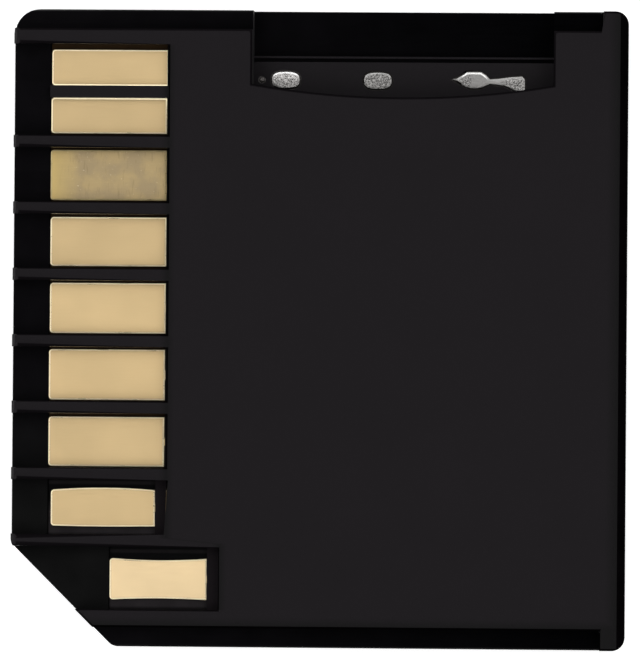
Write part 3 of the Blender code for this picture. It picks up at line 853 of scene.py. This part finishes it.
worn_gold = plated("worn_gold", PLATING, WORN_SATIN)
sound_tone = worn_gold.shader.inputs["Base Color"].links[0].from_socket
scratches = worn_gold.grain(0.07, 2.0, stretch=(1, 0.15, 1), seed=1.0)
blotches = worn_gold.grain(0.8, 4.0, seed=2.0)
specks = worn_gold.grain(0.07, 2.0, seed=6.0)
front_edge = worn_gold.ramp(worn_gold.along("X"), *FRONT_EDGE_FADE)
tone = worn_gold.mix(worn_gold.ramp(blotches, *BLOTCH_LEVELS), WORN_OLIVE, WORN_GREY)
tone = worn_gold.shade(tone, worn_gold.ramp(scratches, *SCRATCH_TONES))
tone = worn_gold.mix(worn_gold.ramp(specks, *SPECK_LEVELS), tone, BARE_SPECK)
on_sixth_pad(worn_gold, sound_tone, worn_gold.mix(front_edge, tone, YELLOW_EDGE))

worn_rim = plated("worn_rim", RIM_HIGHLIGHT, RIM_SHINE)
patches = worn_rim.vary(worn_rim.grain(0.3, 2.0, seed=9.0), 0.85, 1.1, reach=0.15)
on_sixth_pad(worn_rim, RIM_HIGHLIGHT, worn_rim.shade(WORN_EDGE, patches))
print("worn plating:", worn_gold.material.name, "and", worn_rim.material.name)

# %% [markdown]
# ## The leads
#
# Each lead is its own stamping, hidden but for its pad, and the third and sixth pads are one.
# A table gives each its group of parts and its plating, and one loop makes them all, so a
# change of finish is a change of one word.

# %% Leads
LEADS = {
    "lead_1": ("pale_plating", gold[1]),
    "lead_2": ("gold_plating", gold[2]),
    "lead_4": ("gold_plating", gold[4]),
    "lead_5": ("gold_plating", gold[5]),
    "lead_7": ("gold_plating", gold[7]),
    "lead_8": ("gold_plating", gold[8]),
    "lead_9": ("pale_plating", pale_gold),
    "lead_ground": ("worn_plating", worn_gold),
}
for node, (slot, plating) in LEADS.items():
    lead = as_piece(stamped(node), f"{node}_stamped")
    rim = worn_rim if plating is worn_gold else rim_gold
    stand_in(lead, node, slot, plating.material, rim.material)

# %% [markdown]
# ## Pieces grown by Geometry Nodes
#
# Three small things on the real card repeat or follow a line: the skin of plastic that creeps
# over the rear edges of the long pads, the bead of melted plastic that the weld presses out
# between the shells, and the coarse grains of the bright steel in the slot. Each is a small
# node tree with named sizes, so the same tree can be tried with other numbers.

# %% Helpers for Geometry Nodes


class Grower:
    """A Geometry Nodes tree under construction, with its named inputs."""

    def __init__(self, name, **sizes):
        self.tree = bpy.data.node_groups.new(name, "GeometryNodeTree")
        face = self.tree.interface
        face.new_socket(name="Geometry", in_out="INPUT", socket_type="NodeSocketGeometry")
        face.new_socket(name="Geometry", in_out="OUTPUT", socket_type="NodeSocketGeometry")
        for key, value in sizes.items():
            kind = "NodeSocketInt" if isinstance(value, int) else "NodeSocketFloat"
            face.new_socket(name=key, in_out="INPUT", socket_type=kind)
        self.sizes = sizes
        self.input = self.tree.nodes.new("NodeGroupInput")
        self.output = self.tree.nodes.new("NodeGroupOutput")
        self.geometry = self.input.outputs["Geometry"]

    def size(self, key):
        """The socket that brings in a named size."""
        return self.input.outputs[key]

    def add(self, kind, inputs=None, **settings):
        step = self.tree.nodes.new(kind)
        for key, value in settings.items():
            setattr(step, key, value)
        for key, value in (inputs or {}).items():
            if isinstance(value, bpy.types.NodeSocket):
                self.tree.links.new(value, step.inputs[key])
            else:
                step.inputs[key].default_value = value
        return step

    def chance(self, seed, lowest, highest):
        """A random vector for each point, between two limits."""
        step = self.add("FunctionNodeRandomValue", {"Seed": seed}, data_type="FLOAT_VECTOR")
        step.inputs[0].default_value, step.inputs[1].default_value = lowest, highest
        return step.outputs[0]

    def sweep(self, curve, sides, radius, scale=1.0):
        """A round section swept along a curve, with closed ends."""
        section = self.add(
            "GeometryNodeCurvePrimitiveCircle", {"Resolution": sides, "Radius": radius}
        )
        ends = {"Profile Curve": section.outputs[0], "Scale": scale, "Fill Caps": True}
        return self.add("GeometryNodeCurveToMesh", {"Curve": curve, **ends}).outputs[0]

    def finish(self, geometry, material):
        """Ends the tree, as every tree here ends, in real geometry with a material."""
        real = self.add("GeometryNodeRealizeInstances", {"Geometry": geometry})
        smooth = self.add("GeometryNodeSetShadeSmooth", {"Geometry": real.outputs[0]})
        painted = self.add(
            "GeometryNodeSetMaterial", {"Geometry": smooth.outputs[0], "Material": material}
        )
        self.tree.links.new(painted.outputs[0], self.output.inputs["Geometry"])

    def grow(self, name, base):
        """Runs the tree on a base mesh and returns a plain object of what grew."""
        holder = new_object(f"{name}_base", base)
        modifier = holder.modifiers.new(name, "NODES")
        modifier.node_group = self.tree
        for item in self.tree.interface.items_tree:
            if item.in_out == "INPUT" and item.name in self.sizes:
                modifier[item.identifier] = self.sizes[item.name]
        graph = bpy.context.evaluated_depsgraph_get()
        mesh = bpy.data.meshes.new_from_object(holder.evaluated_get(graph))
        holder.modifiers.remove(modifier)
        bpy.data.objects.remove(holder)
        mesh.name = name
        piece = new_object(name, mesh)
        print(f"{name}: {len(mesh.polygons)} faces")
        return piece


def path_mesh(name, chains):
    """A mesh of bare edges through each chain of places."""
    points, edges = [], []
    for chain in chains:
        start = len(points)
        points += chain
        edges += [(i, i + 1) for i in range(start, len(points) - 1)]
    mesh = bpy.data.meshes.new(name)
    mesh.from_pydata(points, edges, [])
    return mesh


print("helpers ready")

# %% [markdown]
# ## Skin at the rear of the long pads
#
# When the leads are moulded in, a little plastic creeps over the rear edge of each of the
# seven long pads and hides the narrow neck that leads away under the case. It could be drawn
# window by window, but it is the same small round fillet every time, so one tree sweeps a
# round section along the foot of each window's rear wall.

# %% Skin at the rear of the long pads
SKIN_PLACE, SKIN_LEVEL, SKIN_GAP = 5.86, 1.375, 0.01
PITCH, RIB_WIDTH, PLAIN_WINDOWS = 2.5, 0.46, range(2, 7)
WIDE_CHANNEL_WINDOWS = [(19.23, 20.66), (21.12, 22.67)]
windows = [
    (
        FIRST_RIB + PITCH * (number - 1) + RIB_WIDTH / 2,
        FIRST_RIB + PITCH * number - RIB_WIDTH / 2,
    )
    for number in PLAIN_WINDOWS
] + WIDE_CHANNEL_WINDOWS
skin = Grower("skin along a line", Radius=0.11 * MM, Sides=12)
along = skin.add("GeometryNodeMeshToCurve", {"Mesh": skin.geometry})
skin.finish(skin.sweep(along.outputs[0], skin.size("Sides"), skin.size("Radius")), polished)
feet = [
    [
        on_card(SKIN_PLACE, low + SKIN_GAP, SKIN_LEVEL),
        on_card(SKIN_PLACE, high - SKIN_GAP, SKIN_LEVEL),
    ]
    for low, high in windows
]
pad_skin = skin.grow("pad_skin", path_mesh("pad_skin_lines", feet))
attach(pad_skin, "root")

# %% [markdown]
# ## The weld bead
#
# The shells are joined by ultrasound. The melt is pressed out into the small groove between
# them and sets as an uneven bead. A curve round the case carries it: the curve is cut into
# short lengths, each point gets its own thickness from a fixed seed, and a round section is
# swept along. The bead stops where the mouth of the slot opens the side.

# %% Weld bead
BEAD_LEVEL, BEAD_INSET, BEAD_GAP, BEAD_THINNEST = 0.705, 0.034, 0.05, 0.45
CUT, FRONT_ROUND, ROUND, BEAD_SIDES = 3.85, 0.95, 0.5, 6


def turn(x, y, radius, first, last, steps=6):
    """Points of an arc about a centre, from one angle to another in degrees."""
    angles = [math.radians(first + (last - first) * i / steps) for i in range(steps + 1)]
    return [
        on_card(x + radius * math.cos(a), y + radius * math.sin(a), BEAD_LEVEL)
        for a in angles
    ]


slant = ROUND * math.tan(math.radians(45 / 2))
small, large = ROUND - BEAD_INSET, FRONT_ROUND - BEAD_INSET
outline = [on_card(MOUTH[0] - BEAD_GAP, WIDTH - BEAD_INSET, BEAD_LEVEL)]
outline += turn(FRONT_ROUND, WIDTH - FRONT_ROUND, large, 90, 180)
outline += turn(ROUND, CUT + slant, small, 180, 225)
outline += turn(CUT + slant, ROUND, small, 225, 270)
outline += turn(LENGTH - ROUND, ROUND, small, 270, 360)
outline += turn(LENGTH - ROUND, WIDTH - ROUND, small, 0, 90)
outline += [on_card(MOUTH[1] + BEAD_GAP, WIDTH - BEAD_INSET, BEAD_LEVEL)]
bead = Grower("uneven bead", Thickness=0.032 * MM, Step=0.14 * MM, Seed=11)
along = bead.add("GeometryNodeMeshToCurve", {"Mesh": bead.geometry})
short = bead.add(
    "GeometryNodeResampleCurve",
    {"Curve": along.outputs[0], "Length": bead.size("Step")},
    mode="LENGTH",
)
chance = bead.add("FunctionNodeRandomValue", {"Seed": bead.size("Seed")}, data_type="FLOAT")
chance.inputs[2].default_value, chance.inputs[3].default_value = BEAD_THINNEST, 1.0
uneven = bead.add(
    "GeometryNodeSetCurveRadius", {"Curve": short.outputs[0], "Radius": chance.outputs[1]}
)
swept = bead.sweep(uneven.outputs[0], BEAD_SIDES, bead.size("Thickness"), chance.outputs[1])
bead.finish(swept, wall_grey)
weld_bead = bead.grow("weld_bead", path_mesh("weld_line", [outline]))
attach(weld_bead, "root")

# %% [markdown]
# ## Bright steel in the slot
#
# A spring strip lies under the floor of the slot and shows through four openings: a dot, two
# ovals and the wavy tail. Its tinned surface has crystallised into grains, but the head and
# the neck of the tail are calmer, and each spot has its own lustre. The shader's noise carries
# the fine speckle, and steps along the card set how bright and how calm the steel is. The first
# oval is brightened towards the mouth by painted light.

# %% The steel
# The brightest tin is a painted highlight on the spots' mouth side, and the dark steel is
# painted shade on their other slopes
TIN, HIGHLIGHT_TIN, DARK_STEEL = srgb(178, 176, 174), srgb(235, 234, 232), srgb(58, 56, 55)
CALM, CALM_FADE, CALM_SHARE = (17.2, 18.3), 0.2, 0.75
# Start and end of a step along the card, with the brightness before and after it
LUSTRE = ((9.5, 9.6, 2.3, 1.0), (11.5, 12.5, 1.32, 0.83), (17.8, 18.1, 1.0, 1.3))
HIGHLIGHT_LUSTRE = ((12.0, 13.0, 0.8, 0.6), (16.75, 16.95, 1.0, 2.4), (17.7, 17.85, 1.0, 0.3))
FIRST_OVAL_END, FIRST_OVAL_LIGHT = (12.0, 11.5), (21.3, 21.5, 0.8, 1.3)


def tinned(name, colour, steps=LUSTRE):
    """Grainy tin. The first oval is brighter on the side of the mouth: painted light."""
    finish = Finish(name)
    x, y = finish.along("X"), finish.along("Y")
    calm = finish.math(
        "MULTIPLY",
        finish.ramp(x, CALM[0] - CALM_FADE, CALM[0], 0, CALM_SHARE),
        finish.ramp(x, CALM[1], CALM[1] + CALM_FADE, 1, 0),
    )
    speckle = finish.math("SUBTRACT", finish.grain(0.06, 2.0, seed=4.0), 0.5)
    speckle = finish.math("MULTIPLY_ADD", speckle, finish.math("SUBTRACT", 1.0, calm), 0.5)
    # Painted light: the first oval brightens towards the mouth
    shade = finish.math("SUBTRACT", finish.ramp(y, *FIRST_OVAL_LIGHT), 1.0)
    on_first = finish.ramp(x, *FIRST_OVAL_END)
    lustre = finish.fold(
        "MULTIPLY",
        finish.math("MULTIPLY_ADD", shade, on_first, 1.0),
        *(finish.ramp(x, *step) for step in steps),
    )
    tone = finish.shade(colour, finish.vary(speckle, 0.62, 1.25, reach=0.15))
    finish.set(
        Base_Color=finish.shade(tone, lustre),
        Metallic=1.0,
        Roughness=finish.vary(speckle, 0.3, 0.5),
        Normal=finish.relief(speckle, 0.012, 0.8),
    )
    return finish.material


steel = tinned("spring_steel", TIN)
rim_steel = tinned("rim_steel", DARK_STEEL)
highlight_steel = tinned("highlight_steel", HIGHLIGHT_TIN, LUSTRE + HIGHLIGHT_LUSTRE)
print("steels:", steel.name, rim_steel.name, highlight_steel.name)

# %% [markdown]
# ## The spots and their lit edges
#
# The strip was pressed up into its openings, and the edge of each spot that looks to the mouth
# took a small round. The tops are inset to get a narrow border, and the part of the border that
# looks to the mouth is let down at its outer side and takes a much brighter steel, a painted
# highlight. A bevel would round every edge alike, so the other slopes, and the dot, take a
# darker steel, which on the slopes is painted shade.

# %% The spots
SPOT_LEVEL, DOT_END, TAIL_START = 0.64, 9.6, 17.0
LIT_EDGE, LIT_DROP, TO_THE_MOUTH, SLOPES_UP = 0.06, 0.012, 0.5, 0.5
# DARK faces take the darker steel, painted shade on the slopes; LIT faces take the painted
# highlight
BRIGHT, DARK, LIT = range(3)


def is_spot_top(face):
    """True for the tops of the ovals and of the tail, but not for the dot's."""
    beyond_dot = face.calc_center_median().x > on_card(DOT_END, 0).x
    return beyond_dot and lies_flat(face, SPOT_LEVEL)


def shows_bright(face):
    """True for the tops and for the slopes of the tail: the other slopes take the painted shade.
    """
    on_tail = face.calc_center_median().x > on_card(TAIL_START, 0).x
    return is_spot_top(face) or (on_tail and face.normal.z > SLOPES_UP)


def light_edges(work):
    """Lets down the borders that look to the mouth, gives them the lit finish, counts them."""
    border = inset(work, [face for face in work.faces if is_spot_top(face)], LIT_EDGE)
    for face in work.faces:
        face.material_index = BRIGHT if shows_bright(face) else DARK
    lowered, lit = set(), 0
    for face in border:
        inner = next(
            edge
            for edge in face.edges
            if any(other not in border and is_spot_top(other) for other in edge.link_faces)
        )
        outwards = (face.calc_center_median() - middle(inner)).normalized()
        if outwards.y > TO_THE_MOUTH:
            face.material_index = LIT
            lit += 1
            lowered |= {vertex for vertex in face.verts if vertex not in inner.verts}
    for vertex in lowered:
        vertex.co.z -= LIT_DROP * MM
    return lit


work = clean_copy("grip_strip")
print("tail:", settle_tail(work), "points")
work.normal_update()
print("lit borders:", light_edges(work), "faces")
spot_tops = work.copy()
strip = as_piece(work, "grip_strip_steel")
stand_in(strip, "grip_strip", "spring_steel", steel, rim_steel, highlight_steel)

# %% [markdown]
# ## Grains on the spots
#
# The tin's coarse grains glitter separately. A noise bump alone would suggest them, but real
# grains catch the lamps one by one, so a tree scatters flattened beads over the tops with a
# fixed seed and lets each differ in size and turn. The lit borders and the calm stretch of the
# tail are cut out of the mesh that carries them, and so is a narrow margin.

# %% Grains on the spots
GRAIN_MARGIN = 0.02
TILT, FULL_TURN = 0.25, 6.28
SMALLEST_GRAIN, LARGEST_GRAIN = (0.5, 0.6, 0.22), (1.1, 1.2, 0.42)
spot_tops.normal_update()
for limit in CALM:
    cut_across(spot_tops, limit)


def takes_grains(face):
    """True for the tops, but not for their lit borders or the calm stretch of the tail."""
    calm = CALM[0] < on_drawing(face.calc_center_median())[0] < CALM[1]
    return is_spot_top(face) and face.material_index == BRIGHT and not calm


bmesh.ops.delete(
    spot_tops,
    geom=[face for face in spot_tops.faces if not takes_grains(face)],
    context="FACES",
)
margin = inset(spot_tops, spot_tops.faces[:], GRAIN_MARGIN)
bmesh.ops.delete(spot_tops, geom=margin, context="FACES")
tops = bpy.data.meshes.new("spot_tops")
spot_tops.to_mesh(tops)
spot_tops.free()
grains = Grower(
    "grains", Spacing=0.05 * MM, Density=500.0 / (MM * MM), Size=0.038 * MM, Seed=5
)
spread = grains.add(
    "GeometryNodeDistributePointsOnFaces",
    {
        "Mesh": grains.geometry,
        "Distance Min": grains.size("Spacing"),
        "Density Max": grains.size("Density"),
        "Seed": grains.size("Seed"),
    },
    distribute_method="POISSON",
)
one = grains.add(
    "GeometryNodeMeshIcoSphere", {"Radius": grains.size("Size"), "Subdivisions": 1}
)
seed = grains.size("Seed")
placed = grains.add(
    "GeometryNodeInstanceOnPoints",
    {
        "Points": spread.outputs["Points"],
        "Instance": one.outputs[0],
        "Rotation": grains.chance(seed, (-TILT, -TILT, 0.0), (TILT, TILT, FULL_TURN)),
        "Scale": grains.chance(seed, SMALLEST_GRAIN, LARGEST_GRAIN),
    },
)
grains.finish(placed.outputs[0], steel)
spot_grains = grains.grow("spot_grains", tops)
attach(spot_grains, "root")

# %% [markdown]
# ## Floor
#
# The photograph is a studio picture on pure white. The floor is pale and adds a little light
# of its own for camera rays, and for what mirrors it, so that it is white in the picture and
# still carries the soft shadow. It lies a hair below the case, so that the two never share a
# surface.

# %% Floor
FLOOR_REACH, FLOOR_LEVEL = 0.6, -2e-6
FLOOR_GREY, FLOOR_GLOW = 0.8, 0.6
floor_mesh = bpy.data.meshes.new("floor")
floor_mesh.from_pydata(
    [
        (FLOOR_REACH * x, FLOOR_REACH * y, FLOOR_LEVEL)
        for x, y in ((-1, -1), (1, -1), (1, 1), (-1, 1))
    ],
    [],
    [(0, 1, 2, 3)],
)
floor = new_object("floor", floor_mesh)
paper = Finish("floor_paper")
paper.set(Base_Color=(FLOOR_GREY,) * 3, Roughness=0.9, Specular_IOR_Level=0.0)
rays = paper.add("ShaderNodeLightPath").outputs
seen = paper.fold(
    "MAXIMUM", rays["Is Camera Ray"], rays["Is Glossy Ray"], rays["Is Transmission Ray"]
)
paper.set(Emission_Color=(1, 1, 1), Emission_Strength=paper.math("MULTIPLY", seen, FLOOR_GLOW))
floor.data.materials.append(paper.material)
print("floor:", 2 * FLOOR_REACH, "m wide")

# %% [markdown]
# ## World
#
# The room round the card is a soft grey that darkens towards the ceiling, because polished
# plastic mirrors the ceiling and has to stay black. Its tone follows the height of each
# direction. The camera itself sees plain white.

# %% World
WALL_LIGHT, CEILING_LIGHT, CEILING_FADE = 0.5, 0.03, (0.5, 0.95)
world = bpy.data.worlds.new("studio")
world.use_nodes = True
bpy.context.scene.world = world
sky = world.node_tree
background = sky.nodes["Background"]
direction = sky.nodes.new("ShaderNodeTexCoord")
parts = sky.nodes.new("ShaderNodeSeparateXYZ")
room = sky.nodes.new("ShaderNodeMapRange")
room.inputs["From Min"].default_value, room.inputs["From Max"].default_value = CEILING_FADE
room.inputs["To Min"].default_value = WALL_LIGHT
room.inputs["To Max"].default_value = CEILING_LIGHT
rays = sky.nodes.new("ShaderNodeLightPath")
level = sky.nodes.new("ShaderNodeMix")
level.inputs["B"].default_value = 1.0
sky.links.new(direction.outputs["Generated"], parts.inputs[0])
sky.links.new(parts.outputs["Z"], room.inputs["Value"])
sky.links.new(rays.outputs["Is Camera Ray"], level.inputs["Factor"])
sky.links.new(room.outputs["Result"], level.inputs["A"])
sky.links.new(level.outputs["Result"], background.inputs["Strength"])
background.inputs["Color"].default_value = (1, 1, 1, 1)
print("room light from", WALL_LIGHT, "down to", CEILING_LIGHT)

# %% [markdown]
# ## Lamps
#
# Four large lamps stand round the camera, one over each corner of the card, and leave its
# place dark: polished plastic mirrors that dark place, while the satin pads gather the lamps
# around it. As no lamp faces a long fold squarely, the folds darken evenly instead of
# flashing.

# %% Lamps
LAMP_DISTANCE, LAMP_SIZE, LAMP_ELEVATION = 0.5, 0.36, 58
FAR_POWER, NEAR_POWER = 0.6, 0.52


def lamp(name, azimuth, elevation, power):
    """A square soft lamp that looks at the object from this direction."""
    light = bpy.data.lights.new(name, "AREA")
    light.shape = "SQUARE"
    light.size = LAMP_SIZE
    light.energy = power
    stand = new_object(name, light)
    round_it, rise = math.radians(azimuth), math.radians(elevation)
    away = Vector(
        (
            math.cos(round_it) * math.cos(rise),
            math.sin(round_it) * math.cos(rise),
            math.sin(rise),
        )
    )
    stand.location = away * LAMP_DISTANCE
    stand.rotation_euler = away.to_track_quat("Z", "Y").to_euler()
    print(f"{name}: {power} W")


for name, azimuth, power in (
    ("lamp_far_right", 45, FAR_POWER),
    ("lamp_far_left", 135, FAR_POWER),
    ("lamp_near_left", 225, NEAR_POWER),
    ("lamp_near_right", 315, NEAR_POWER),
):
    lamp(name, azimuth, LAMP_ELEVATION, power)

# %% [markdown]
# ## Camera
#
# The photograph looks almost straight down, with so little perspective that the walls of the
# case hardly show. A long lens from well above gives that. Its place and its small turns were
# found by laying the corners of the solid over those in the picture.

# %% Camera
CAMERA_PLACE = (11.519, -2.318, 288.0)
CAMERA_TURN = (0.478, 2.294, 0.428)
CAMERA_LENS, SENSOR = 428.6, 36.0
eye = bpy.data.cameras.new("camera")
eye.sensor_fit = "HORIZONTAL"
eye.sensor_width = SENSOR
eye.lens = CAMERA_LENS
eye.clip_start, eye.clip_end = 0.01, 10.0
camera = new_object("camera", eye)
camera.location = Vector(CAMERA_PLACE) * MM
camera.rotation_euler = [math.radians(angle) for angle in CAMERA_TURN]
bpy.context.scene.camera = camera
bpy.context.scene.view_settings.view_transform = "Standard"
print("camera at", camera.location)
